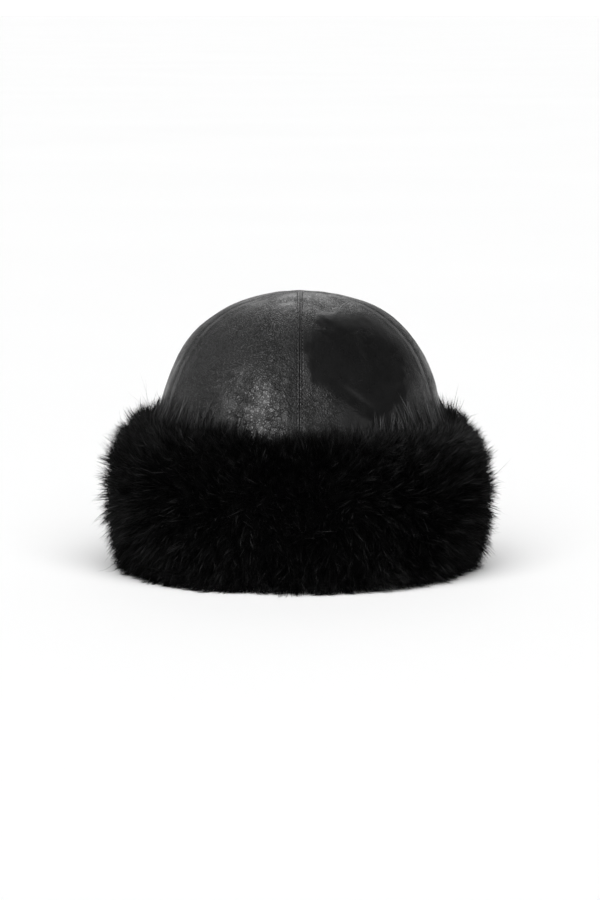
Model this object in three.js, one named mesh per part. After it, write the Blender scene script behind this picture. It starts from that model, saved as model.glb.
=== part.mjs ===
// A fur-trimmed bucket hat, standing on a table with its opening down.
// Five leather panels are sewn into a round crown, open below for the head. A deep band of fur is
// turned up round its lower half as a cuff.
// Millimetres, +Z up, the front of the hat towards -Y, and the origin on the table under its centre.
import * as THREE from "three";

// The hat as a whole.
const HAT_HEIGHT = 178; // table to the top of the crown
const CROWN_RADIUS = 93.5; // outside of the leather at its widest

// The leather crown.
const PANEL_NAMES = [
  "crown_panel_front_right",
  "crown_panel_side_right",
  "crown_panel_back",
  "crown_panel_side_left",
  "crown_panel_front_left",
];
const LEATHER = 1.8; // thickness of a panel with its lining
const RIM_HEIGHT = 7; // table to the lower edge of the panels
const TIP_RADIUS = 1.2; // the panels stop this far from the centre of the top
const SEAM_GAP = 0.3; // between two panels
const SEAM_DIP = 0.8; // how far a panel's edge is rolled in at a seam
const SEAM_ROLL = 3; // width of that rolled edge

// The fur cuff.
const CUFF_HEIGHT = 95; // table to the top of the dense fur
const CUFF_DEPTH = 26; // from the leather out to the dense fur
const CUFF_GAP = 0.4; // between the leather and the back of the cuff
const FOOT_HEIGHT = 0.3; // how far up footing reaches, as a share of CUFF_HEIGHT
const LOCK_SPACING = 7; // between neighbouring locks and the hollows round them
const LOCK_LENGTH = 9; // from the dense fur to the tip of a lock
const LOCK_STRAY = 2; // how far a lock's tip strays from where the fur is combed to
const HOLLOW_STRAY = 1.2; // and how far the hollows round it stray from an even grid

// How finely the surfaces are divided.
const PANEL_ROWS = 19; // from the rim to the top
const PANEL_COLUMNS = 12; // across a panel, its two rolled edges included
const BACK_ROWS = 5; // up the back of the cuff
const PROFILE_SAMPLES = 400;

// Outline of the crown from its tip to its rim: out as a share of CROWN_RADIUS, and down as a share
// of the height from the rim to the top.
const CROWN_PROFILE = [
  { out: 0.0, down: 0.006 },
  { out: 0.1, down: 0.0 },
  { out: 0.26, down: 0.014 },
  { out: 0.4, down: 0.036 },
  { out: 0.505, down: 0.06 },
  { out: 0.63, down: 0.105 },
  { out: 0.725, down: 0.153 },
  { out: 0.816, down: 0.219 },
  { out: 0.885, down: 0.295 },
  { out: 0.94, down: 0.38 },
  { out: 0.98, down: 0.47 },
  { out: 1.0, down: 0.6 },
  { out: 1.0, down: 0.8 },
  { out: 0.99, down: 1.0 },
];

// Soft dents, and bulges where deep is below 0. turn is degrees from the front seam, positive to
// the right in front view, and wide is radians. up is a share of HAT_HEIGHT, and tall and deep are
// shares of CROWN_RADIUS.
const DENTS = [
  { turn: 33, up: 0.72, wide: 0.3, tall: 0.26, deep: 0.02 },
  { turn: -17, up: 0.66, wide: 0.17, tall: 0.26, deep: -0.014 },
  { turn: 17, up: 0.62, wide: 0.14, tall: 0.14, deep: -0.012 },
  { turn: -52, up: 0.74, wide: 0.22, tall: 0.3, deep: 0.012 },
  { turn: 84, up: 0.81, wide: 0.6, tall: 0.42, deep: -0.021 },
  { turn: 125, up: 0.68, wide: 0.3, tall: 0.24, deep: 0.014 },
  { turn: 178, up: 0.76, wide: 0.34, tall: 0.22, deep: 0.018 },
  { turn: -112, up: 0.68, wide: 0.26, tall: 0.28, deep: 0.014 },
];

// Section through the dense fur, from its lower inner edge round the outside to its upper inner
// edge: out as a share of CUFF_DEPTH, up as a share of CUFF_HEIGHT, how much of its length a lock
// has there, and which way it is combed: 1 along the section, -1 back against it, 0 straight out.
// The table presses flat what lies below up 0.
const CUFF_SECTION = [
  { out: 0.0, up: 0.065, lock: 0.0, comb: 0.0 },
  { out: 0.12, up: 0.015, lock: 0.0, comb: 0.0 },
  { out: 0.3, up: -0.02, lock: 0.0, comb: 0.0 },
  { out: 0.66, up: -0.02, lock: 0.0, comb: 0.0 },
  { out: 0.86, up: 0.03, lock: 0.8, comb: -0.3 },
  { out: 0.96, up: 0.14, lock: 1.0, comb: -0.7 },
  { out: 1.0, up: 0.32, lock: 0.9, comb: -0.6 },
  { out: 1.0, up: 0.52, lock: 0.8, comb: -0.1 },
  { out: 0.97, up: 0.67, lock: 0.9, comb: 0.5 },
  { out: 0.87, up: 0.8, lock: 1.0, comb: 0.4 },
  { out: 0.69, up: 0.905, lock: 1.0, comb: 0.1 },
  { out: 0.48, up: 0.97, lock: 1.0, comb: 0.0 },
  { out: 0.28, up: 1.0, lock: 0.9, comb: 0.2 },
  { out: 0.12, up: 0.995, lock: 0.7, comb: 0.3 },
  { out: 0.0, up: 0.93, lock: 0.0, comb: 0.0 },
];

// Where the cuff is fuller or thinner than its section. turn and wide as for the dents, taller as
// a share of CUFF_HEIGHT, and deeper and footing as shares of CUFF_DEPTH, footing only near the
// table.
const CUFF_SWELLS = [
  { turn: -8, wide: 0.14, taller: -0.05, deeper: -0.04, footing: 0.0 },
  { turn: 26, wide: 0.3, taller: -0.015, deeper: 0.03, footing: 0.0 },
  { turn: 66, wide: 0.45, taller: -0.03, deeper: 0.0, footing: -0.42 },
  { turn: 112, wide: 0.3, taller: 0.015, deeper: 0.0, footing: -0.15 },
  { turn: -88, wide: 0.4, taller: 0.015, deeper: 0.04, footing: 0.0 },
  { turn: -42, wide: 0.25, taller: 0.01, deeper: 0.02, footing: 0.1 },
  { turn: 160, wide: 0.3, taller: -0.02, deeper: -0.03, footing: 0.0 },
  { turn: -155, wide: 0.4, taller: -0.025, deeper: 0.03, footing: 0.05 },
];

const leather = new THREE.MeshStandardMaterial({
  color: 0x1d1d1f,
  roughness: 0.45,
  metalness: 0,
});
const fur = new THREE.MeshStandardMaterial({
  color: 0x070707,
  roughness: 0.9,
  metalness: 0,
});

// A smooth curve through points given as [out, up] in millimetres.
function curveThrough(points) {
  const places = points.map(([out, up]) => new THREE.Vector3(out, up, 0));
  return new THREE.CatmullRomCurve3(places, false, "centripetal");
}

const crownCurve = curveThrough(
  CROWN_PROFILE.map(({ out, down }) => [
    Math.max(out * CROWN_RADIUS, TIP_RADIUS),
    HAT_HEIGHT - down * (HAT_HEIGHT - RIM_HEIGHT),
  ]),
);
const crownSamples = crownCurve.getSpacedPoints(PROFILE_SAMPLES);

// Outside radius of the crown at a height. Below the rim it is the rim's.
function crownRadiusAt(height) {
  const below = crownSamples.findIndex((p) => p.y <= height && p.x > CROWN_RADIUS / 2);
  if (below < 1) return crownSamples[PROFILE_SAMPLES].x;
  const a = crownSamples[below - 1];
  const b = crownSamples[below];
  const share = THREE.MathUtils.clamp((a.y - height) / (a.y - b.y), 0, 1);
  return THREE.MathUtils.lerp(a.x, b.x, share);
}

// How far an angle is from a turn in degrees, the short way round, in widths.
function widthsFrom(angle, { turn, wide }) {
  const swing = angle - THREE.MathUtils.degToRad(turn);
  return Math.atan2(Math.sin(swing), Math.cos(swing)) / wide;
}

// How far the leather is pushed in at an angle from the front, a radius and a height.
function dentAt(angle, radius, height) {
  let depth = 0;
  for (const dent of DENTS) {
    const across = widthsFrom(angle, dent);
    const along = (height - dent.up * HAT_HEIGHT) / (dent.tall * CROWN_RADIUS);
    depth += dent.deep * CROWN_RADIUS * Math.exp(-across * across - along * along);
  }
  // The cuff holds the leather round below, and the seams that meet at the tip hold it there.
  const clearOfCuff = THREE.MathUtils.smoothstep(height, CUFF_HEIGHT, CUFF_HEIGHT + CUFF_DEPTH);
  const clearOfTip = THREE.MathUtils.smoothstep(radius, TIP_RADIUS, CROWN_RADIUS / 3);
  return depth * clearOfCuff * clearOfTip;
}

// The point at a distance out from the axis, at an angle from the front, and at a height.
function place(out, angle, height) {
  return [out * Math.sin(angle), -out * Math.cos(angle), height];
}

// A closed shell from two grids of points with the same rows and columns, the outer one's faces
// pointing out of it.
function shellBetween(outer, inner, rows, columns) {
  const index = [];
  const width = columns + 1;
  const innerStart = outer.length;
  const quad = (a, b, c, d) => index.push(a, b, c, a, c, d);
  for (let row = 0; row < rows; row += 1) {
    for (let column = 0; column < columns; column += 1) {
      const a = row * width + column;
      quad(a, a + 1, a + width + 1, a + width);
      quad(innerStart + a, innerStart + a + width, innerStart + a + width + 1, innerStart + a + 1);
    }
    const left = row * width;
    const right = left + columns;
    quad(left + width, innerStart + left + width, innerStart + left, left);
    quad(right, innerStart + right, innerStart + right + width, right + width);
  }
  const last = rows * width;
  for (let column = 0; column < columns; column += 1) {
    quad(column, innerStart + column, innerStart + column + 1, column + 1);
    const a = last + column;
    quad(a + 1, innerStart + a + 1, innerStart + a, a);
  }
  return geometryOf([...outer, ...inner], index);
}

function geometryOf(points, index) {
  const geometry = new THREE.BufferGeometry();
  geometry.setAttribute("position", new THREE.Float32BufferAttribute(points.flat(), 3));
  geometry.setIndex(index);
  geometry.computeVertexNormals();
  return geometry;
}

// One panel of the crown, centred on an angle from the front: a curved leather gore, rolled in
// along both seams, from the rim up to the tip.
function panelGeometry(centre) {
  const halfPanel = Math.PI / PANEL_NAMES.length;
  const outer = [];
  const inner = [];
  for (let row = 0; row <= PANEL_ROWS; row += 1) {
    const along = 1 - row / PANEL_ROWS;
    const { x: radius, y: height } = crownCurve.getPointAt(along);
    const tangent = crownCurve.getTangentAt(along);
    const normal = { out: -tangent.y, up: tangent.x };
    for (let column = 0; column <= PANEL_COLUMNS; column += 1) {
      const atEdge = column === 0 || column === PANEL_COLUMNS;
      const share = THREE.MathUtils.clamp((column - 1) / (PANEL_COLUMNS - 2), 0, 1) * 2 - 1;
      const roll = Math.min(SEAM_ROLL / radius, halfPanel / 3);
      const side = Math.sign(share) || 1;
      const turn = atEdge ? side * halfPanel : share * (halfPanel - roll);
      const dip = Math.min(SEAM_DIP, radius / 10);
      const dent = dentAt(centre + turn, radius, height);
      const push = atEdge ? dent + dip : dent;
      const edgeTurn = (out) => {
        const limit = halfPanel - Math.asin(SEAM_GAP / 2 / out);
        return centre + THREE.MathUtils.clamp(turn, -limit, limit);
      };
      const outside = [radius - push * normal.out, height - push * normal.up];
      const depth = LEATHER + dent;
      const inside = [radius - depth * normal.out, height - depth * normal.up];
      outer.push(place(outside[0], edgeTurn(outside[0]), outside[1]));
      inner.push(place(inside[0], edgeTurn(inside[0]), inside[1]));
    }
  }
  return shellBetween(outer, inner, PANEL_ROWS, PANEL_COLUMNS);
}

// A repeatable number from 0 to 1 for the lock at a row and column.
function chance(row, column, salt) {
  const wave = Math.sin(row * 12.9898 + column * 78.233 + salt * 37.719) * 43758.5453;
  return wave - Math.floor(wave);
}

// How much taller and deeper than its section the cuff is at an angle and a share of its height.
function swellAt(angle, up) {
  const swell = { taller: 1, deeper: 1 };
  const nearTable = 1 - THREE.MathUtils.smoothstep(up, 0, FOOT_HEIGHT);
  for (const spot of CUFF_SWELLS) {
    const across = widthsFrom(angle, spot);
    const share = Math.exp(-across * across);
    swell.taller += spot.taller * share * THREE.MathUtils.clamp(up, 0, 1);
    swell.deeper += (spot.deeper + spot.footing * nearTable) * share;
  }
  return swell;
}

// The cuff: the dense fur as a ring, its back following the crown, with a lock drawn out of every
// second point of its outer side like the squares of one colour on a chessboard.
function cuffGeometry() {
  const sectionCurve = curveThrough(
    CUFF_SECTION.map(({ out, up }) => [out * CUFF_DEPTH, up * CUFF_HEIGHT]),
  );
  const furRows = Math.round(sectionCurve.getLength() / LOCK_SPACING);
  const furTop = CUFF_SECTION[CUFF_SECTION.length - 1].up * CUFF_HEIGHT;
  const furBottom = CUFF_SECTION[0].up * CUFF_HEIGHT;
  const rows = furRows + BACK_ROWS;
  const around = 2 * Math.round((Math.PI * (CROWN_RADIUS + CUFF_DEPTH)) / LOCK_SPACING);
  const points = [];

  // A column of the section's table at a share of the way round the section.
  const tableAt = (column, share) => {
    const at = sectionCurve.getUtoTmapping(share) * (CUFF_SECTION.length - 1);
    const from = Math.min(Math.floor(at), CUFF_SECTION.length - 2);
    return THREE.MathUtils.lerp(
      CUFF_SECTION[from][column],
      CUFF_SECTION[from + 1][column],
      at - from,
    );
  };

  for (let row = 0; row < rows; row += 1) {
    for (let column = 0; column < around; column += 1) {
      const angle = (column / around) * 2 * Math.PI;
      if (row > furRows) {
        const share = (row - furRows) / BACK_ROWS;
        const top = furTop * swellAt(angle, furTop / CUFF_HEIGHT).taller;
        const height = THREE.MathUtils.lerp(top, furBottom, share);
        points.push(place(crownRadiusAt(height) + CUFF_GAP, angle, height));
        continue;
      }
      const share = row / furRows;
      const { x: out, y: up } = sectionCurve.getPointAt(share);
      const tangent = sectionCurve.getTangentAt(share);
      const lock = tableAt("lock", share);
      const isLock = (row + column) % 2 === 0;
      const length = isLock ? LOCK_LENGTH * lock * (0.65 + 0.7 * chance(row, column, 1)) : 0;
      const stray = lock * (isLock ? LOCK_STRAY : HOLLOW_STRAY);
      const combed = Math.atan(tableAt("comb", share));
      const along = length * Math.sin(combed) + stray * (2 * chance(row, column, 2) - 1);
      const away = length * Math.cos(combed);
      const aside = stray * (2 * chance(row, column, 3) - 1);
      const { taller, deeper } = swellAt(angle, up / CUFF_HEIGHT);
      const base = up * taller;
      const height = Math.max(base - tangent.x * away + tangent.y * along, 0);
      const reach = out * deeper + tangent.y * away + tangent.x * along;
      const crownThere = Math.max(crownRadiusAt(base), crownRadiusAt(height));
      const radius = crownThere + CUFF_GAP + Math.max(reach, 0);
      points.push(place(radius, angle + aside / radius, height));
    }
  }

  const index = [];
  for (let row = 0; row < rows; row += 1) {
    for (let column = 0; column < around; column += 1) {
      const nextColumn = (column + 1) % around;
      const nextRow = (row + 1) % rows;
      const a = row * around + column;
      const b = row * around + nextColumn;
      const c = nextRow * around + nextColumn;
      const d = nextRow * around + column;
      // The diagonal joins the two hollows, so that each lock stands alone.
      if ((row + column) % 2 === 0) index.push(b, c, d, b, d, a);
      else index.push(a, b, c, a, c, d);
    }
  }
  return geometryOf(points, index);
}

const hat = new THREE.Group();

PANEL_NAMES.forEach((name, number) => {
  const centre = ((number + 0.5) / PANEL_NAMES.length) * 2 * Math.PI;
  const panel = new THREE.Mesh(panelGeometry(centre), leather);
  panel.name = name;
  hat.add(panel);
});

const cuff = new THREE.Mesh(cuffGeometry(), fur);
cuff.name = "fur_cuff";
hat.add(cuff);

export default hat;
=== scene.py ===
"""A leather hat with a deep fur cuff, standing on a pale studio floor.

The leather panels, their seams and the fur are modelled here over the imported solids. Tables hold
shares of the named sizes, lengths are in millimetres until a mesh is made, and turns are degrees
from the front seam, positive to the right in front view.
"""
import math

import bpy
import numpy as np
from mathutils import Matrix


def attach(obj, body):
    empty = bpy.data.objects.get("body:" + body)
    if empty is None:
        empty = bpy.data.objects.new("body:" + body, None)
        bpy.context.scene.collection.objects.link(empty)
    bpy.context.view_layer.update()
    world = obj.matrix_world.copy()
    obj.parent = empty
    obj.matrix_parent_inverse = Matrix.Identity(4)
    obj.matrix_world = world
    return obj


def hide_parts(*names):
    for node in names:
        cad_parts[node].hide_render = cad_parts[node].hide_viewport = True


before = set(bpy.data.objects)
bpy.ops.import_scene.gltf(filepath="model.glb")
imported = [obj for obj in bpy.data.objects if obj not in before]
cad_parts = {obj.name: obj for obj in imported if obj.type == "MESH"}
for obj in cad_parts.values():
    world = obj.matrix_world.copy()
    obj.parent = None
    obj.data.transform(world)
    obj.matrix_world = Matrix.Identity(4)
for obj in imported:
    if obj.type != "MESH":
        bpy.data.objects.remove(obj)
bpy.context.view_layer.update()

MM = 0.001

# The hat, with the part's own sizes
HAT_HEIGHT = 178.0
CROWN_RADIUS = 93.5
LEATHER = 1.8
RIM_HEIGHT = 7.0
CUFF_HEIGHT = 95.0
CUFF_DEPTH = 26.0
CUFF_GAP = 0.4
FOOT_HEIGHT = 0.3       # in CUFF_HEIGHT, over which the cuff's footing fades out
PANELS = [
    "crown_panel_front_right",
    "crown_panel_side_right",
    "crown_panel_back",
    "crown_panel_side_left",
    "crown_panel_front_left",
]

# Crown outline from its tip to its rim: out in CROWN_RADIUS, down in the height above the rim
CROWN_PROFILE = [
    (0.0, 0.006), (0.1, 0.0), (0.26, 0.014), (0.4, 0.036), (0.505, 0.06), (0.63, 0.105),
    (0.725, 0.153), (0.816, 0.219), (0.885, 0.295), (0.94, 0.38), (0.98, 0.47), (1.0, 0.6),
    (1.0, 0.8), (0.99, 1.0),
]

# Dents: turn in degrees, up in HAT_HEIGHT, wide in radians, tall and deep in CROWN_RADIUS
DENTS = [
    (33, 0.72, 0.3, 0.26, 0.02),
    (-17, 0.66, 0.17, 0.26, -0.014),
    (17, 0.62, 0.14, 0.14, -0.012),
    (-52, 0.74, 0.22, 0.3, 0.012),
    (84, 0.81, 0.6, 0.42, -0.021),
    (125, 0.68, 0.3, 0.24, 0.014),
    (178, 0.76, 0.34, 0.22, 0.018),
    (-112, 0.68, 0.26, 0.28, 0.014),
]

# Soft creases and ridges of the leather: where each starts and ends, as turn and up in
# HAT_HEIGHT, its width in mm, and its height in mm, below 0 for a crease
FOLDS = [
    (9, 0.71, 28, 0.585, 2.4, 0.45),
    (13, 0.735, 32, 0.615, 1.8, -0.5),
    (32, 0.87, 35, 0.77, 2.0, 0.4),
    (36, 0.86, 39, 0.74, 2.6, -0.4),
    (9, 0.905, 19, 0.845, 2.0, 0.35),
    (14, 0.93, 26, 0.86, 2.4, -0.35),
    (38, 0.80, 50, 0.70, 2.4, 0.35),
    (-23, 0.965, -31, 0.88, 2.4, 0.22),
    (-15, 0.95, -19, 0.86, 3.0, -0.2),
    (-58, 0.82, -61, 0.70, 2.5, 0.25),
    (-30, 0.60, -38, 0.54, 3.0, 0.5),
    (-12, 0.575, -26, 0.555, 2.4, -0.45),
    (20, 0.55, 30, 0.60, 4.5, 0.6),
    (52, 0.74, 58, 0.60, 3.0, 0.35),
    (100, 0.80, 92, 0.62, 3.5, -0.4),
    (160, 0.86, 172, 0.66, 4.0, 0.5),
    (-120, 0.84, -108, 0.64, 3.5, 0.4),
    (-150, 0.70, -165, 0.60, 3.0, -0.4),
]

# Soft unevenness of the leather: how wide and high in mm, and its seed
UNEVENNESS = [
    (46.0, 0.45, 5),
    (17.0, 0.16, 6),
    (7.0, 0.06, 7),
]

# Rows of a panel, and its columns from SEAM_COLUMNS to its middle
FRONT_GRID = (124, 30)
OTHER_GRID = (96, 20)
TIP_SHARE = 0.004

# Section through the dense fur, round the outside from below: out in CUFF_DEPTH, up in
# CUFF_HEIGHT, comb as the tangent of the angle that the hair leans along the section, and
# long as a share of the hair's length
CUFF_SECTION = [
    (0.64, 0.0, 0.9, 0.8),
    (0.84, 0.045, 0.0, 1.0),
    (0.95, 0.14, -0.6, 1.0),
    (1.0, 0.32, -0.5, 1.0),
    (1.0, 0.52, -0.1, 1.0),
    (0.97, 0.67, 0.3, 1.0),
    (0.87, 0.8, 0.35, 1.0),
    (0.69, 0.905, 0.2, 1.0),
    (0.48, 0.97, 0.1, 1.0),
    (0.28, 1.0, 0.15, 1.05),
    (0.12, 0.995, 0.3, 1.1),
    (0.0, 0.93, 0.5, 1.1),
]

# Where the cuff is fuller or thinner: turn, wide in radians, then taller, deeper and, near the
# table only, footing as shares
CUFF_SWELLS = [
    (-8, 0.14, -0.05, -0.04, 0.0),
    (26, 0.3, -0.015, 0.03, 0.0),
    (66, 0.45, -0.03, 0.0, -0.42),
    (112, 0.3, 0.015, 0.0, -0.15),
    (-88, 0.4, 0.015, 0.04, -0.12),
    (-42, 0.25, 0.01, 0.02, 0.1),
    (160, 0.3, -0.02, -0.03, 0.0),
    (-155, 0.4, -0.025, 0.03, 0.05),
]

# Tufts with longer hair, and with hair painted lighter as highlight where the fur catches the
# light:
# turn, up in CUFF_HEIGHT, wide in degrees, tall in CUFF_HEIGHT, longer as a share and the painted
# highlight as a grey added to the hair's own
TUFTS = [
    (-60, 1.0, 22, 0.16, 0.1, 0.3),
    (-96, 0.95, 12, 0.14, 0.0, 0.1),
    (-84, 0.5, 14, 0.13, 0.25, 0.35),
    (-86, 0.78, 12, 0.1, 0.1, 0.1),
    (55, 1.0, 22, 0.16, 0.15, 0.5),
    (84, 0.86, 16, 0.14, -0.2, 0.35),
    (98, 0.95, 14, 0.12, -0.15, 0.1),
    (100, 1.03, 16, 0.05, 0.5, 0.0),
    (-98, 1.03, 14, 0.05, 0.35, 0.0),
    (22, 1.0, 12, 0.1, 0.25, 0.3),
    (-17, 1.0, 10, 0.08, -0.2, 0.0),
    (27, 0.08, 5, 0.1, 0.3, 0.3),
    (-30, 0.06, 9, 0.1, 0.4, 0.1),
    (6, 0.05, 7, 0.1, 0.4, 0.1),
    (52, 0.06, 10, 0.1, 0.4, 0.1),
    (150, 1.0, 25, 0.16, 0.5, 0.4),
    (-140, 0.9, 20, 0.2, 0.3, 0.35),
    (178, 0.45, 16, 0.16, 0.25, 0.3),
]

# Fine hairs that stand up from the cuff over the leather: from turn, to turn, length in mm,
# clumps per degree and the painted highlight, a grey that lightens them where they catch the light
WISPS = [
    (-74, -40, 20, 2.1, 0.9),
    (-40, -22, 13, 1.6, 0.4),
    (-22, 18, 7, 1.4, 0.1),
    (18, 31, 9, 2.2, 0.7),
    (31, 44, 15, 2.4, 0.8),
    (44, 76, 22, 2.6, 0.95),
    (76, 286, 14, 1.2, 0.5),
]

# Seams
STITCH_ROW = 1.6        # from the seam to a row of topstitching
STITCH_PITCH = 3.0
STITCH_LENGTH = 2.1
STITCH_WIDTH = 0.55
STITCH_SIDES = 6
HOLE_WIDTH = 1.0
ALLOWANCE = 8.0         # leather turned back under each side of a seam
ALLOWANCE_LIFT = 0.2    # how far it raises the leather over it
PUCKER = 0.14           # height of the leather between the stitches

# How far a seam is drawn in over its allowance, and the front seam above the cuff: to its left,
# and to its right, where that reaches further
SEAM_DEPTH = 0.4
FRONT_LEFT_DEPTH = 1.5
FRONT_RIGHT_DEPTH = 1.0
FRONT_RIGHT_REACH = 20.0

# The fold where two panels meet, its lip and the groove of the stitches: distance from the seam,
# width and height in mm
SEAM_RELIEF = [
    (0.0, 0.14, -0.2),
    (0.6, 0.35, 0.08),
    (STITCH_ROW, 0.26, -0.22),
]

# Columns of a panel beside a seam, in mm from it, closest where the relief is steepest
SEAM_COLUMNS = [
    0, 0.15, 0.35, 0.6, 0.9, 1.2, 1.4, 1.6, 1.8, 2.05, 2.4, 3.0, 3.8, 4.8, 6.0, 7.1, 7.7, 8.3,
    9.0, 10.2,
]

# Fur
HAIR_DEPTH = 11.0       # from a hair's root out to the dense surface
HAIR_REACH = 7.0        # and from there to its tip
CLUMP_ROWS = 33
CLUMPS_AROUND = 197
HAIRS_PER_CLUMP = 21
CLUMP_RADIUS = 3.3
LOOSE_SHARE = 0.3       # of the hairs, which leave their clump
STRAY_SHARE = 0.04      # of the hairs, which stand out from the fur
HAIRS_PER_WISP = 10
WISP_ROOT = 6.0         # from a wisp's root up to the cuff's top
HAIR_WIDTH = 0.5
FUR_SECTORS = 5
PILE_ROWS = 34
PILE_COLUMNS = 280
PILE_DEPTH = 4.5        # from the dense surface in to the pile

# Places along a hair and a wisp, how wide each is there, and the faces of their ribbons
HAIR_STEPS = np.array([0.0, 0.45, 0.78, 1.0])
HAIR_TAPER = np.array([1.0, 0.9, 0.55, 0.0])
WISP_STEPS = np.array([0.0, 0.4, 0.75, 1.0])
WISP_TAPER = np.array([1.0, 0.9, 0.6, 0.0])
RIBBON = np.array([(0, 1, 3), (0, 3, 2), (2, 3, 5), (2, 5, 4), (4, 5, 6)])

# Softboxes: turn and elevation in degrees, distance and size in metres, and radiance
SOFTBOXES = {
    "key": (-35, 24, 1.6, 0.85, 13.0),
    "wide": (-42, 33, 1.9, 2.0, 0.3),
    "top": (181, 44, 1.6, 0.6, 4.6),
    "side": (48, 20, 1.8, 0.3, 2.0),
}

# Camera
CAMERA_DISTANCE = 2400.0
CAMERA_ELEVATION = 7.0
CAMERA_AIM = 75.6
PHOTO_TALL = 900
MM_PER_PIXEL = 0.645
SENSOR = 36.0


def smoothstep(low, high, value):
    """A smooth step from 0, where value is at most low, to 1, where it is at least high."""
    share = np.clip((value - low) / (high - low), 0.0, 1.0)
    return share * share * (3 - 2 * share)


def curve_through(points, count):
    """count points spaced evenly along a centripetal Catmull-Rom curve through the first two
    columns of points, with the other columns carried along."""
    p = np.asarray(points, float)
    ends = np.vstack([2 * p[0] - p[1], p, 2 * p[-1] - p[-2]])
    fine = []
    for a, b, c, d in zip(ends[:-3], ends[1:-2], ends[2:-1], ends[3:]):
        step = [math.sqrt(math.dist(u[:2], v[:2])) for u, v in ((a, b), (b, c), (c, d))]
        leave = (b - a) / step[0] - (c - a) / (step[0] + step[1]) + (c - b) / step[1]
        arrive = (c - b) / step[1] - (d - b) / (step[1] + step[2]) + (d - c) / step[2]
        t = np.linspace(0, 1, 60, endpoint=False)[:, None]
        fine.append((2 * t**3 - 3 * t**2 + 1) * b + (3 * t**2 - 2 * t**3) * c
                    + (t**3 - 2 * t**2 + t) * leave * step[1] + (t**3 - t**2) * arrive * step[1])
    fine = np.vstack(fine + [p[-1:]])
    gone = np.r_[0, np.cumsum(np.hypot(*np.diff(fine[:, :2], axis=0).T))]
    even = np.linspace(0, gone[-1], count)
    return np.stack([np.interp(even, gone, column) for column in fine.T], 1), gone[-1]


def turn_difference(angle, turn):
    """How far an angle in radians is from a turn, the short way round."""
    difference = angle - math.radians(turn)
    return np.arctan2(np.sin(difference), np.cos(difference))


def place(radius, angle, height):
    """Points at a distance from the hat's axis, an angle in radians and a height."""
    return np.stack([radius * np.sin(angle), -radius * np.cos(angle), height], -1)


def ripple(points, length, seed, waves=14):
    """A smooth random height, about 1 at its highest, with swells about length apart."""
    rng = np.random.default_rng(seed)
    total = 0
    for _ in range(waves):
        way = rng.normal(size=points.shape[-1])
        way /= np.linalg.norm(way)
        reach = length * rng.uniform(0.7, 1.5)
        total = total + np.sin(points @ way * 2 * math.pi / reach + rng.uniform(0, 2 * math.pi))
    return total / math.sqrt(waves * 2)


crown_line, crown_length = curve_through(
    [(max(out * CROWN_RADIUS, 0.3), HAT_HEIGHT - down * (HAT_HEIGHT - RIM_HEIGHT))
     for out, down in CROWN_PROFILE], 1200)
crown_way = np.gradient(crown_line, axis=0)
crown_way /= np.linalg.norm(crown_way, axis=1)[:, None]


def crown_at(share):
    """Radius, height and outward normal (out, up) at a share of the way from tip to rim."""
    at = share * (len(crown_line) - 1)
    index = np.arange(len(crown_line))
    radius, height, way_out, way_up = (
        np.interp(at, index, c) for c in (*crown_line.T, *crown_way.T))
    return radius, height, -way_up, way_out


def crown_radius_at(height):
    """Radius of the crown's plain outline at a height on its side."""
    side = crown_line[crown_line[:, 0] > CROWN_RADIUS * 0.2]
    return np.interp(-np.asarray(height), -side[:, 1], side[:, 0])


def crown_share_at(height):
    """Share of the way from tip to rim at which the crown's outline has a height."""
    side = crown_line[:, 1] <= HAT_HEIGHT * 0.995
    return np.interp(-height, -crown_line[side, 1], np.flatnonzero(side)) / (len(crown_line) - 1)


def dent_at(angle, radius, height):
    """How far the leather is pushed in at a place, as in the part."""
    depth = np.zeros(np.broadcast(angle, height).shape)
    for turn, up, wide, tall, deep in DENTS:
        across = turn_difference(angle, turn) / wide
        along = (height - up * HAT_HEIGHT) / (tall * CROWN_RADIUS)
        depth += deep * CROWN_RADIUS * np.exp(-across**2 - along**2)
    clear_of_cuff = smoothstep(CUFF_HEIGHT, CUFF_HEIGHT + CUFF_DEPTH, height)
    return depth * clear_of_cuff * smoothstep(0, CROWN_RADIUS / 3, radius)


def fold_at(angle, share):
    """Height of the leather's creases and ridges, each fading out round its line."""
    lift = np.zeros(np.broadcast(angle, share).shape)
    for turn_a, up_a, turn_b, up_b, wide, tall in FOLDS:
        share_a, share_b = (crown_share_at(up * HAT_HEIGHT) for up in (up_a, up_b))
        radius = crown_at((share_a + share_b) / 2)[0]
        line = np.array([math.radians(turn_b - turn_a) * radius,
                         (share_b - share_a) * crown_length])
        across = turn_difference(angle, turn_a) * radius
        along = (share - share_a) * crown_length
        gone = np.clip((across * line[0] + along * line[1]) / (line @ line), 0, 1)
        distance = np.hypot(across - gone * line[0], along - gone * line[1])
        lift += tall * np.exp(-(distance / wide) ** 2) * (0.45 + 0.55 * np.sin(math.pi * gone))
    return lift


def swell_at(angle, up):
    """How much taller and deeper than its section the cuff is at a place."""
    taller = np.ones_like(angle)
    deeper = np.ones_like(angle)
    near_table = 1 - smoothstep(0, FOOT_HEIGHT, up)
    for turn, wide, tall, deep, footing in CUFF_SWELLS:
        share = np.exp(-(turn_difference(angle, turn) / wide) ** 2)
        taller += tall * share * np.clip(up, 0, 1)
        deeper += (deep + footing * near_table) * share
    return taller, deeper


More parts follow.
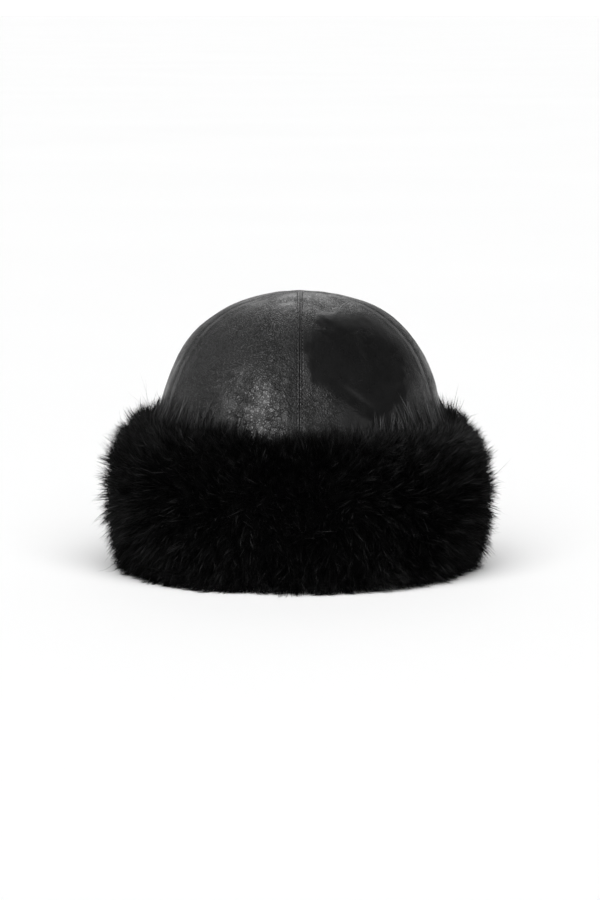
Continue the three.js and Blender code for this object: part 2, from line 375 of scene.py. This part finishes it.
def make_mesh(name, points, faces, materials):
    """A smooth object of millimetre points and equal-sized faces, riding on the hat."""
    faces = np.asarray(faces, np.int32)
    mesh = bpy.data.meshes.new(name)
    mesh.vertices.add(len(points))
    mesh.vertices.foreach_set("co", (np.asarray(points, np.float32) * MM).ravel())
    mesh.loops.add(faces.size)
    mesh.loops.foreach_set("vertex_index", faces.ravel())
    mesh.polygons.add(len(faces))
    starts = np.arange(0, faces.size, faces.shape[1], dtype=np.int32)
    mesh.polygons.foreach_set("loop_start", starts)
    mesh.polygons.foreach_set("use_smooth", np.ones(len(faces), bool))
    mesh.update(calc_edges=True)
    for material in materials:
        mesh.materials.append(material)
    piece = bpy.data.objects.new(name, mesh)
    bpy.context.scene.collection.objects.link(piece)
    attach(piece, "root")
    return piece


def grid_faces(rows, columns, wrap=False):
    """Faces of a grid of points with rows x columns, joined round in a ring if wrap is set."""
    row = np.arange(rows - 1)[:, None]
    column = np.arange(columns if wrap else columns - 1)[None, :]
    after = (column + 1) % columns
    a = row * columns + column
    b = row * columns + after
    return np.stack([a, b, b + columns, a + columns], -1).reshape(-1, 4)


# Materials

class Nodes:
    """Short calls to add nodes to a tree."""

    def __init__(self, tree):
        self.tree = tree
        where = self.add("ShaderNodeTexCoord")
        self.position = where.outputs["Object"]
        self.direction = where.outputs["Generated"]

    def add(self, kind, **values):
        """A new node with those settings."""
        node = self.tree.nodes.new(kind)
        for key, value in values.items():
            setattr(node, key, value)
        return node

    def link(self, source, target):
        """Joins an output to an input."""
        self.tree.links.new(source, target)

    def value(self, node, name, value):
        """Sets an input to a number, or links it if the value comes from another node."""
        if isinstance(value, bpy.types.NodeSocket):
            self.link(value, node.inputs[name])
        else:
            node.inputs[name].default_value = value

    def math(self, operation, a, b=0.0):
        """The result of an operation on two values."""
        node = self.add("ShaderNodeMath", operation=operation)
        self.value(node, 0, a)
        self.value(node, 1, b)
        return node.outputs[0]

    def total(self, *values):
        """The sum of values."""
        result = values[0]
        for value in values[1:]:
            result = self.math("ADD", result, value)
        return result

    def times(self, *values):
        """The product of values."""
        result = values[0]
        for value in values[1:]:
            result = self.math("MULTIPLY", result, value)
        return result

    def ramp(self, value, low, high, to_low=0.0, to_high=1.0):
        """A smooth step from to_low, where value is low, to to_high, where it is high."""
        node = self.add("ShaderNodeMapRange", interpolation_type="SMOOTHSTEP")
        for name, number in zip(("Value", "From Min", "From Max", "To Min", "To Max"),
                                (value, low, high, to_low, to_high)):
            self.value(node, name, number)
        return node.outputs[0]

    def vector(self, operation, a, b):
        """The result of an operation on two vectors."""
        node = self.add("ShaderNodeVectorMath", operation=operation)
        self.link(a, node.inputs[0])
        self.value(node, 1, b)
        return node.outputs["Value" if operation == "DISTANCE" else "Vector"]

    def noise(self, size, detail=2.0, where=None, output="Fac"):
        """Noise whose swells are about size mm wide."""
        node = self.add("ShaderNodeTexNoise")
        self.link(where or self.position, node.inputs["Vector"])
        self.value(node, "Scale", 1 / (size * MM))
        self.value(node, "Detail", detail)
        return node.outputs[output]

    def warped(self, size, amount):
        """The position, pushed about by noise of that size by up to that many mm."""
        push = self.noise(size, output="Color")
        centred = self.vector("SUBTRACT", push, (0.5, 0.5, 0.5))
        scaled = self.vector("MULTIPLY", centred, (2 * amount * MM,) * 3)
        return self.vector("ADD", self.position, scaled)

    def cracks(self, size, width, where):
        """1 in the thin lines between cells of that size, 0 away from them."""
        node = self.add("ShaderNodeTexVoronoi", feature="DISTANCE_TO_EDGE")
        self.link(where, node.inputs["Vector"])
        self.value(node, "Scale", 1 / (size * MM))
        return self.ramp(node.outputs["Distance"], 0.0, width / size, 1.0, 0.0)

    def near(self, spot, full, none):
        """1 within full mm of a place, 0 beyond none mm."""
        distance = self.vector("DISTANCE", self.position, tuple(MM * s for s in spot))
        return self.ramp(distance, full * MM, none * MM, 1.0, 0.0)


class Surface(Nodes):
    """A new material and short calls for what its Principled shader shows."""

    def __init__(self, name, roughness=0.5, specular=0.5):
        self.material = bpy.data.materials.new(name)
        self.material.use_nodes = True
        super().__init__(self.material.node_tree)
        self.shader = self.tree.nodes["Principled BSDF"]
        self.value(self.shader, "Roughness", roughness)
        self.value(self.shader, "Specular IOR Level", specular)

    def colour(self, value, low, high):
        """Mixes two colours, low where value is 0 and high where it is 1."""
        node = self.add("ShaderNodeMix", data_type="RGBA")
        self.value(node, 0, value)
        node.inputs[6].default_value = (*low, 1)
        node.inputs[7].default_value = (*high, 1)
        self.link(node.outputs[2], self.shader.inputs["Base Color"])

    def bump(self, height):
        """Raises the surface by a height in mm."""
        node = self.add("ShaderNodeBump")
        self.link(height, node.inputs["Height"])
        self.value(node, "Distance", MM)
        self.link(node.outputs[0], self.shader.inputs["Normal"])

    def rough(self, value):
        """Sets the roughness."""
        self.link(value, self.shader.inputs["Roughness"])


def leather_material():
    """Black waxed leather, crazed by a fine net of creases, and with wrinkles and veins in places.
    Its colour is greyer where the net is denser, partly the grey of wear and partly painted light:
    the net is raised on the lit left side and at the lit bottom of the front right panel, and
    lowered on the smooth right panel, which is painted darker as shade, and the crease lines are
    painted near-black as shade. Sizes and heights are in mm."""
    n = Surface("black_leather", specular=0.42)
    patch = (-34, -84, 108)
    left_patch = n.near(patch, 18, 52)
    left_side = n.near((-38, -66, 132), 30, 68)
    low_middle = n.near((14, -92, 104), 10, 34)
    smooth = n.near((34, -65, 138), 24, 50)
    uneven = n.ramp(n.noise(22.0), 0.42, 0.62)
    # Painted light and shade: besides the crazing's bump, the net sets the colour below, so it is
    # raised on the lit left side and lower front right, and lowered where the right panel is smooth
    # and shaded.
    net = n.math("MAXIMUM", n.total(n.times(uneven, 0.4), 0.3, n.times(left_side, 0.6),
                                    n.times(low_middle, 0.4), n.times(smooth, -0.8)), 0.06)
    wrinkled = n.times(n.total(left_patch, n.times(low_middle, 0.7), n.times(uneven, 0.35)),
                       n.ramp(n.noise(11.0), 0.38, 0.55))
    veined = n.times(n.total(left_patch, n.times(uneven, 0.3)), n.ramp(n.noise(16.0), 0.42, 0.55))

    broken = n.ramp(n.noise(2.6, 1.0), 0.32, 0.46, 0.45, 1.0)
    fine = n.times(n.cracks(1.55, 0.52, n.warped(1.5, 1.0)), net, broken)
    wrinkles = n.times(n.cracks(4.6, 0.55, n.warped(3.0, 3.0)), wrinkled)
    veins = n.times(n.cracks(9.0, 0.8, n.warped(8.0, 7.0)), veined)
    slid = n.vector("MULTIPLY", n.position, (1.0, 1.0, 0.16))
    streaks = n.noise(2.6, 2.0, where=slid)
    grain = n.times(n.noise(1.2, 2.0), n.total(n.times(net, 0.025), 0.01))
    swells = n.noise(7.0, 2.0)
    deep = n.total(n.times(n.near(patch, 14, 44), 0.17), -0.25)
    n.bump(n.total(n.times(fine, deep), n.times(wrinkles, -0.16), n.times(veins, -0.25),
                   n.times(streaks, 0.03), grain, n.times(swells, 0.12)))
    lines = n.math("MINIMUM", n.total(fine, wrinkles, veins), 1.0)
    # Painted shade and wear: the colour is near-black in the crease lines as painted shade, and
    # elsewhere greyer with the net, which is partly wear and partly painted light.
    wear_and_painted_light = n.times(n.total(n.times(net, 0.8), 0.15), n.total(1.0, n.times(lines, -1.0)))
    n.colour(wear_and_painted_light, (0.001, 0.001, 0.001), (0.023, 0.023, 0.0235))
    n.rough(n.total(n.ramp(n.noise(9.0, 4.0), 0.3, 0.7, 0.27, 0.35), n.times(lines, 0.3)))
    return n.material


def thread_material():
    """Black waxed thread, its plies shown by a fine wave."""
    n = Surface("black_thread", roughness=0.45)
    wave = n.add("ShaderNodeTexWave", bands_direction="DIAGONAL")
    n.link(n.position, wave.inputs["Vector"])
    n.value(wave, "Scale", 1 / (1.4 * MM))
    n.bump(n.times(wave.outputs["Fac"], 0.05))
    n.colour(n.noise(2.0), (0.012, 0.012, 0.012), (0.03, 0.03, 0.03))
    return n.material


def dark_material(name, size, depth):
    """Near-black, for what is only seen in gaps: the painted shade in the needle holes and the
    shaded inside of the pile.
    """
    n = Surface(name, roughness=0.9, specular=0.04)
    n.bump(n.times(n.noise(size, 4.0), depth))
    n.colour(n.noise(3 * size, 4.0), (0.0008, 0.0008, 0.0008), (0.002, 0.002, 0.002))
    return n.material


def hair_material():
    """Black hair, its colour from the mesh's attribute: black at the root inside the fur as painted
    shade, and lighter out to the tip by the hair's grey, partly its own and partly painted
    highlight.
    """
    n = Surface("black_fur", roughness=0.45, specular=0.07)
    hair = n.add("ShaderNodeAttribute", attribute_name="hair")
    split = n.add("ShaderNodeSeparateColor")
    n.link(hair.outputs["Color"], split.inputs[0])
    # Painted shade: the colour is black at the root, inside the fur, and rises to the hair's grey
    # at the tip.
    n.colour(n.times(n.ramp(split.outputs[0], 0.2, 1.0), split.outputs[1]),
             (0.0008, 0.0008, 0.0008), (0.15, 0.15, 0.152))
    return n.material


# Leather crown

def seam_relief(distance, side, share, seam):
    """How far the leather stands out, in mm, at a distance to one side of a seam."""
    along = share * crown_length
    relief = sum(tall * np.exp(-((distance - at) / wide) ** 2) for at, wide, tall in SEAM_RELIEF)
    edge = ALLOWANCE_LIFT * (1 - smoothstep(ALLOWANCE - 0.8, ALLOWANCE + 1.4, distance))
    pucker = PUCKER * ripple(along[..., None], 8.0, seam) * np.exp(-((distance - 4.0) / 3.6) ** 2)
    height = crown_at(share)[1] / HAT_HEIGHT
    near_seam = np.clip(1 - distance / ALLOWANCE, 0, 1)
    if seam:
        valley = SEAM_DEPTH * near_seam
    elif side < 0:
        valley = FRONT_LEFT_DEPTH * (1 - smoothstep(0.78, 0.92, height)) * near_seam
    else:
        valley = FRONT_RIGHT_DEPTH * (1 - smoothstep(0.6, 0.76, height))
        valley = valley * np.clip(1 - distance / FRONT_RIGHT_REACH, 0, 1) ** 2
    return relief + edge + pucker - valley


def crown_surface(angle, share, seam, side):
    """Points of the leather's outer face and its normals, seen from one side of a seam."""
    radius, height, out, up = crown_at(share)
    turn = seam * 360 / len(PANELS)
    distance = radius * np.abs(turn_difference(angle, turn))
    base = place(radius, angle, height)
    soft = sum(tall * ripple(base, wide, seed) for wide, tall, seed in UNEVENNESS)
    settle = 0.35 + 0.65 * smoothstep(0, 12, distance)
    folds = fold_at(angle, share) * smoothstep(0, 6, distance)
    lift = seam_relief(distance, side, share, seam) + soft * settle + folds
    lift = lift * smoothstep(0, 4, radius) - dent_at(angle, radius, height)
    return place(radius + lift * out, angle, height + lift * up), out, up


def panel_columns(middle):
    """Places across half a panel, in shares from its seam to its middle, closer at the seam."""
    half = CROWN_RADIUS * math.pi / len(PANELS)
    rest = np.linspace(SEAM_COLUMNS[-1], half, middle)[1:]
    return np.r_[SEAM_COLUMNS, rest] / half


def make_panel(number, name, leather):
    """One panel as a closed shell, laid out in rows from the rim to the tip."""
    rows, middle = FRONT_GRID if number in (0, len(PANELS) - 1) else OTHER_GRID
    half = math.pi / len(PANELS)
    centre = (2 * number + 1) * half
    share = panel_columns(middle)
    across = np.r_[share - 1, (1 - share[:-1])[::-1]]
    turn = np.clip(across * half, -half + 2e-4, half - 2e-4)
    angle, along = np.broadcast_arrays(
        centre + turn[None, :], np.linspace(1, TIP_SHARE, rows)[:, None])
    outer_left, out, up = crown_surface(angle, along, number, 1)
    outer_right, _, _ = crown_surface(angle, along, (number + 1) % len(PANELS), -1)
    outer = np.where((turn < 0)[None, :, None], outer_left, outer_right)
    thick = LEATHER * np.minimum(1, 2 * along * crown_length / LEATHER)
    inner = outer - place(thick * out, angle, thick * up)
    width = len(turn)
    faces = grid_faces(rows, width)
    deep = rows * width
    low = np.arange(width - 1)
    high = low + (rows - 1) * width
    side = np.arange(rows - 1) * width
    far = side + width - 1
    rim = np.stack([low, low + deep, low + 1 + deep, low + 1], -1)
    tip = np.stack([high + 1, high + 1 + deep, high + deep, high], -1)
    start = np.stack([side + width, side + width + deep, side + deep, side], -1)
    end = np.stack([far, far + deep, far + width + deep, far + width], -1)
    points = np.vstack([outer.reshape(-1, 3), inner.reshape(-1, 3)])
    faces = np.vstack([faces, faces[:, ::-1] + deep, rim, tip, start, end])
    piece = make_mesh("leather_" + name, points, faces, [leather])
    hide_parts(name)


def make_stitches(seam, thread, hole_shade):
    """Both rows of topstitching along one seam: lens-shaped stitches in their groove, and between
    each two a near-black disc, the painted shade in the needle holes."""
    turn = seam * 360 / len(PANELS)
    steps = np.arange(7.0, crown_length - 2, STITCH_PITCH) / crown_length
    lengths = np.array([-0.5, -0.36, 0.0, 0.36, 0.5])
    girth = np.array([0.25, 0.85, 1.0, 0.85, 0.25]) * STITCH_WIDTH / 2
    sink = np.array([-0.32, -0.04, 0.05, -0.04, -0.32])
    round_ = np.arange(STITCH_SIDES) * 2 * math.pi / STITCH_SIDES
    ring = grid_faces(len(lengths), STITCH_SIDES, wrap=True)
    disc = np.array([[0, 1, 2, 3], [0, 3, 4, 5]])
    points = []
    faces = []
    holes = []
    total = 0
    for side in (-1, 1):
        for share in steps:
            radius = crown_at(share)[0]
            angle = math.radians(turn) + side * min(STITCH_ROW / radius, 0.5)
            where = share + np.r_[lengths * STITCH_LENGTH, STITCH_PITCH / 2] / crown_length
            spot, out, up = crown_surface(np.full(len(where), angle), where, seam, side)
            normal = place(out, angle, up)
            across = np.array([math.cos(angle), math.sin(angle), 0.0])
            centre = spot[:-1] + normal[:-1] * sink[:, None]
            offset = (np.cos(round_)[None, :, None] * across
                      + np.sin(round_)[None, :, None] * normal[:-1, None, :])
            lens = (centre[:, None, :] + offset * girth[:, None, None]).reshape(-1, 3)
            down = np.cross(across, normal[-1])
            circle = np.cos(round_)[:, None] * across + np.sin(round_)[:, None] * down
            # Painted shade: a near-black disc just over the leather, standing for the shade in the
            # needle holes.
            shade_disc = spot[-1] + 0.05 * normal[-1] + HOLE_WIDTH / 2 * circle
            points += [lens, shade_disc]
            faces += [ring + total, disc + total + len(lens)]
            holes += [np.zeros(len(ring), int), np.ones(len(disc), int)]
            total += len(lens) + len(shade_disc)
    piece = make_mesh(
        f"topstitching_{seam + 1}", np.vstack(points), np.vstack(faces), [thread, hole_shade])
    piece.data.polygons.foreach_set("material_index", np.concatenate(holes).astype(np.int32))


# Fur cuff

cuff_line, cuff_length = curve_through(
    [(out * CUFF_DEPTH, up * CUFF_HEIGHT, comb, long) for out, up, comb, long in CUFF_SECTION], 600)
cuff_way = np.gradient(cuff_line[:, :2], axis=0)
cuff_way /= np.linalg.norm(cuff_way, axis=1)[:, None]


def cuff_at(share, angle):
    """Radius and height of the dense fur's surface, its way along the section and its table."""
    at = share * (len(cuff_line) - 1)
    index = np.arange(len(cuff_line))
    out, up, comb, long, way_out, way_up = (
        np.interp(at, index, c) for c in (*cuff_line.T, *cuff_way.T))
    taller, deeper = swell_at(angle, up / CUFF_HEIGHT)
    height = up * taller
    radius = crown_radius_at(height) + CUFF_GAP + out * deeper
    return radius, height, way_out, way_up, comb, long


def tuft_at(angle, height):
    """How much longer the hair is at a place on the cuff, and how much lighter it is painted there
    as highlight.
    """
    longer = np.ones_like(angle)
    painted_highlight = np.zeros_like(angle)
    for turn, up, wide, tall, long, pale in TUFTS:
        across = turn_difference(angle, turn) / math.radians(wide)
        along = (height / CUFF_HEIGHT - up) / tall
        share = np.exp(-across**2 - along**2)
        longer += long * share
        painted_highlight += pale * share
    return longer, painted_highlight


def make_pile(material):
    """The dense inside of the fur, a closed ring a little under the hair's surface."""
    angle = np.linspace(0, 2 * math.pi, PILE_COLUMNS, endpoint=False)[None, :]
    share = np.linspace(0, 1, PILE_ROWS)[:, None]
    angle, share = np.broadcast_arrays(angle, share)
    radius, height, way_out, way_up, _, _ = cuff_at(share, angle)
    sink = PILE_DEPTH + 1.3 * ripple(place(radius, angle, height), 11.0, 21)
    back = crown_radius_at(height) + CUFF_GAP
    radius = np.maximum(radius - sink * way_up, back)
    height = np.maximum(height + sink * way_out, 0.0)
    low = np.linspace(0.5, 1, 4)[:, None] * height[-1:]
    inner_height = np.vstack([low[::-1], np.full((1, PILE_COLUMNS), 0.5)])
    inner_radius = crown_radius_at(inner_height) + CUFF_GAP
    radius = np.vstack([radius, inner_radius])
    height = np.vstack([height, inner_height])
    points = place(radius, np.broadcast_to(angle[:1], radius.shape), height)
    count = len(radius)
    first = np.arange(PILE_COLUMNS)
    last = first + (count - 1) * PILE_COLUMNS
    close = np.stack([last, np.roll(last, -1), np.roll(first, -1), first], -1)
    faces = np.vstack([grid_faces(count, PILE_COLUMNS, wrap=True), close])
    piece = make_mesh("fur_pile", points.reshape(-1, 3), faces, [material])
    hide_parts("fur_cuff")


def make_hairs():
    """All hairs as arrays: points (hairs, 4, 3), widths (hairs, 4), greys with painted highlight in
    them and turns (hairs).
    """
    rng = np.random.default_rng(31)
    row, column = np.divmod(np.arange(CLUMP_ROWS * CLUMPS_AROUND), CLUMPS_AROUND)
    clumps = len(row)
    clump_turn = (column + rng.uniform(0, 1, clumps)) / CLUMPS_AROUND * 2 * math.pi
    clump_share = (row + rng.uniform(0, 1, clumps)) / CLUMP_ROWS
    clump_radius, clump_height, *_ = cuff_at(clump_share, clump_turn)
    spot = place(clump_radius, clump_turn, clump_height)
    clump_lean = 0.25 * ripple(spot, 55.0, 41) + rng.normal(0, 0.2, clumps)
    clump_aside = 0.3 * ripple(spot, 60.0, 42) + rng.normal(0, 0.24, clumps)
    longer, painted_highlight = tuft_at(clump_turn, clump_height)
    clump_reach = longer * np.clip(rng.normal(1.0, 0.38, clumps), 0.35, 1.9)
    clump_tone = rng.uniform(0.4, 1.0, clumps)
    # The hem is ragged in front and behind
    at_hem = (1 - smoothstep(0.05, 0.12, clump_height / CUFF_HEIGHT)) * np.cos(clump_turn) ** 4
    clump_reach *= 1 + 1.6 * at_hem * rng.random(clumps) ** 3

    owner = np.repeat(np.arange(clumps), HAIRS_PER_CLUMP)
    count = len(owner)
    spread = rng.normal(0, 0.6, (count, 2)) * CLUMP_RADIUS
    share = np.clip(clump_share[owner] + spread[:, 0] / cuff_length, 0, 1)
    angle = clump_turn[owner] + spread[:, 1] / (CROWN_RADIUS + CUFF_DEPTH)
    loose = rng.random(count) < LOOSE_SHARE
    stray = rng.random(count) < STRAY_SHARE

    radius, height, way_out, way_up, comb, long = cuff_at(share, angle)
    wander = np.where(loose, 0.2, 0.07)
    lean = np.arctan(comb) + clump_lean[owner] + rng.normal(0, 1, count) * wander
    aside = clump_aside[owner] + rng.normal(0, 1, count) * wander
    lean = lean + stray * rng.normal(0, 0.5, count)
    aside = aside + stray * rng.normal(0, 0.5, count)
    reach = HAIR_REACH * long * clump_reach[owner] * rng.uniform(0.65, 1.1, count)
    reach = reach * np.where(loose, 0.7, 1.0) * np.where(stray, rng.uniform(1.2, 2.0, count), 1.0)

    normal_out, normal_up = way_up, -way_out
    root_radius = radius - HAIR_DEPTH * normal_out
    root_height = height - HAIR_DEPTH * normal_up
    total = HAIR_DEPTH + reach
    pull = np.where(loose | stray, 0.1, 0.88)
    along = total * np.sin(lean) - spread[:, 0] * pull
    across = total * np.sin(aside) - spread[:, 1] * pull
    away = total * np.cos(lean) * np.cos(aside)
    steps = HAIR_STEPS
    bend = steps ** 1.6
    r = (root_radius[:, None] + normal_out[:, None] * away[:, None] * steps
         + way_out[:, None] * along[:, None] * bend)
    z = (root_height[:, None] + normal_up[:, None] * away[:, None] * steps
         + way_up[:, None] * along[:, None] * bend)
    turn = angle[:, None] + across[:, None] * bend / np.maximum(r, CROWN_RADIUS)
    z = z - 0.02 * total[:, None] * steps ** 2
    z = np.maximum(z, 0.35 + 0.8 * rng.random((count, 1)) * steps)
    r = np.maximum(r, crown_radius_at(z) + 0.7 + 0.5 * rng.random((count, 1)))
    points = place(r, turn, z)

    thin = np.where(stray, 0.5, rng.uniform(0.6, 1.1, count))
    width = HAIR_WIDTH * thin[:, None] * HAIR_TAPER
    # A random grey of each hair's own, then painted highlight from the tufts where the fur catches
    # the light.
    tone_and_highlight = 0.006 + 0.012 * rng.random(count) + 0.5 * rng.random(count) ** 16
    tone_and_highlight = (tone_and_highlight + painted_highlight[owner] * rng.random(count) ** 1.5) * clump_tone[owner]
    return points, width, np.clip(tone_and_highlight, 0, 1), clump_turn[owner]


def make_wisps():
    """Fine hairs lying up over the leather from the top of the cuff, as make_hairs gives them."""
    rng = np.random.default_rng(33)
    turn, tall, pale = (np.concatenate(c) for c in zip(*(
        (rng.uniform(start, end, round((end - start) * density)),
         np.full(round((end - start) * density), tall),
         np.full(round((end - start) * density), pale))
        for start, end, tall, density, pale in WISPS)))
    clumps = len(turn)
    turn = np.radians(turn)
    bow = 0.12 * ripple(place(np.full(clumps, 90.0), turn, np.zeros(clumps)), 30.0, 43)
    bow = bow + rng.normal(0, 0.15, clumps)
    clump_tall = tall * rng.uniform(0.35, 1.15, clumps)

    owner = np.repeat(np.arange(clumps), HAIRS_PER_WISP)
    count = len(owner)
    spread = rng.normal(0, 1.7, count)
    steps = WISP_STEPS
    length = (clump_tall[owner] * rng.uniform(0.6, 1.1, count))[:, None] + WISP_ROOT
    top = (swell_at(turn, np.ones(clumps))[0] * CUFF_HEIGHT)[owner]
    foot = top - WISP_ROOT + rng.normal(0, 1.5, count)
    side = spread[:, None] * (1 - 0.85 * steps**0.8) + bow[owner, None] * length * steps**1.8
    z = foot[:, None] + length * steps * np.cos(bow[owner, None] * 0.6)
    lift = 0.8 + 1.2 * rng.random((count, 1))
    lift = lift + (3 + 3 * rng.random((count, 1))) * (1 - steps) ** 1.5
    r = crown_radius_at(z) + lift
    points = place(r, turn[owner, None] + side / r, z)
    thin = rng.uniform(0.6, 1.0, count)
    width = HAIR_WIDTH * thin[:, None] * WISP_TAPER
    # Painted highlight: the wisps are lightened where they catch the light, over a dark grey of
    # their own.
    tone_and_highlight = 0.03 + 1.3 * pale[owner] * rng.uniform(0.2, 1.0, clumps)[owner] * rng.random(count)
    return points, width, np.clip(tone_and_highlight, 0, 1), turn[owner] % (2 * math.pi)


def make_fur(material):
    """The hairs as ribbons of three faces, joined into one piece for each sector of the cuff."""
    points, width, tone_and_highlight, turns = (
        np.concatenate(pair) for pair in zip(make_hairs(), make_wisps()))
    rng = np.random.default_rng(32)
    way = np.diff(points, axis=1)
    way = np.concatenate([way, way[:, -1:]], 1)
    way /= np.maximum(np.linalg.norm(way, axis=2, keepdims=True), 1e-6)
    side = np.cross(way, rng.normal(size=(len(points), 1, 3)))
    side /= np.maximum(np.linalg.norm(side, axis=2, keepdims=True), 1e-6)
    left = points - side * width[..., None] / 2
    right = points + side * width[..., None] / 2
    sector = (turns / (2 * math.pi) * FUR_SECTORS).astype(int) % FUR_SECTORS
    for number in range(FUR_SECTORS):
        mine = sector == number
        l, r = left[mine], right[mine]
        corners = np.stack([l[:, 0], r[:, 0], l[:, 1], r[:, 1], l[:, 2], r[:, 2], l[:, 3]], 1)
        first = np.arange(len(l)) * corners.shape[1]
        faces = (first[:, None, None] + RIBBON).reshape(-1, 3)
        piece = make_mesh(f"fur_hairs_{number + 1}", corners.reshape(-1, 3), faces, [material])
        colours = np.ones((*corners.shape[:2], 4), np.float32)
        colours[:, :, 0] = np.repeat(HAIR_STEPS, [2, 2, 2, 1])
        colours[:, :, 1] = tone_and_highlight[mine, None]
        hair = piece.data.attributes.new("hair", "FLOAT_COLOR", "POINT")
        hair.data.foreach_set("color", colours.ravel())
        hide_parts("fur_cuff")


# Stage

def make_floor():
    """A pale floor that reaches past what any view shows."""
    size = 60.0
    mesh = bpy.data.meshes.new("floor")
    mesh.from_pydata([(-size, -size, 0), (size, -size, 0), (size, size, 0), (-size, size, 0)], [],
                     [(0, 1, 2, 3)])
    floor = bpy.data.objects.new("floor", mesh)
    bpy.context.scene.collection.objects.link(floor)
    n = Surface("pale_floor", roughness=0.8, specular=0.1)
    n.colour(n.noise(900.0), (0.9, 0.9, 0.9), (0.93, 0.93, 0.93))
    mesh.materials.append(n.material)


def make_studio_light():
    """A pale room: white at the horizon and behind the hat, dim above and in front."""
    world = bpy.data.worlds.new("studio")
    bpy.context.scene.world = world
    world.use_nodes = True
    world.node_tree.nodes.clear()
    n = Nodes(world.node_tree)
    axes = n.add("ShaderNodeSeparateXYZ")
    n.link(n.direction, axes.inputs[0])
    horizon = n.ramp(axes.outputs["Z"], 0.07, 0.16, 1.1, 0.0)
    low = n.times(n.ramp(axes.outputs["Z"], 0.05, 0.3, 1.0, 0.0),
                  n.ramp(axes.outputs["Y"], 0.5, 1.0, 0.22, 1.1))
    behind = n.times(n.ramp(axes.outputs["Y"], 0.42, 0.92),
                     n.ramp(axes.outputs["Z"], 0.6, 0.9, 0.58, 0.0))
    background = n.add("ShaderNodeBackground")
    n.value(background, "Color", (1, 1, 1, 1))
    walls = n.math("MAXIMUM", horizon, n.math("MAXIMUM", low, behind))
    n.link(n.total(walls, 0.028), background.inputs["Strength"])
    output = n.add("ShaderNodeOutputWorld")
    n.link(background.outputs[0], output.inputs[0])


def make_softbox(name, turn, elevation, distance, size, radiance):
    """A square area light facing the crown from that turn and elevation."""
    light = bpy.data.lights.new(name, "AREA")
    light.shape = "SQUARE"
    light.size = size
    light.energy = radiance * math.pi * size * size
    lamp = bpy.data.objects.new(name, light)
    bpy.context.scene.collection.objects.link(lamp)
    a, e = math.radians(turn), math.radians(elevation)
    way = np.array([math.sin(a) * math.cos(e), -math.cos(a) * math.cos(e), math.sin(e)])
    lamp.location = np.array([0.0, 0.0, 0.12]) + way * distance
    lamp.rotation_euler = (math.pi / 2 - e, 0, a)
    lamp.visible_diffuse = False


def make_fill():
    """Lights everything from above without being mirrored, as the softboxes are only mirrored."""
    light = bpy.data.lights.new("fill", "SUN")
    light.energy = 4.0
    light.angle = math.radians(70)
    lamp = bpy.data.objects.new("fill", light)
    bpy.context.scene.collection.objects.link(lamp)
    lamp.rotation_euler = (math.radians(38), 0, 0)
    lamp.visible_glossy = False


def make_camera():
    """A long lens at the photo's height, its frame as tall as the photo at the hat."""
    camera = bpy.data.cameras.new("camera")
    camera.sensor_width = SENSOR
    camera.lens = SENSOR * CAMERA_DISTANCE / (PHOTO_TALL * MM_PER_PIXEL)
    camera.clip_end = 200
    holder = bpy.data.objects.new("camera", camera)
    bpy.context.scene.collection.objects.link(holder)
    e = math.radians(CAMERA_ELEVATION)
    holder.location = (0, -CAMERA_DISTANCE * MM * math.cos(e),
                       (CAMERA_AIM + CAMERA_DISTANCE * math.sin(e)) * MM)
    holder.rotation_euler = (math.pi / 2 - e, 0, 0)
    bpy.context.scene.camera = holder


make_camera()
make_floor()
make_studio_light()
for name, box in SOFTBOXES.items():
    make_softbox(name, *box)
make_fill()
bpy.context.scene.view_settings.view_transform = "Standard"

leather = leather_material()
thread = thread_material()
# Painted shade for the needle holes, as near-black discs.
hole_shade = dark_material("needle_hole_shade", 1.0, 0.2)
for number, name in enumerate(PANELS):
    make_panel(number, name, leather)
    make_stitches(number, thread, hole_shade)
make_pile(dark_material("black_pile", 1.4, 0.8))
make_fur(hair_material())
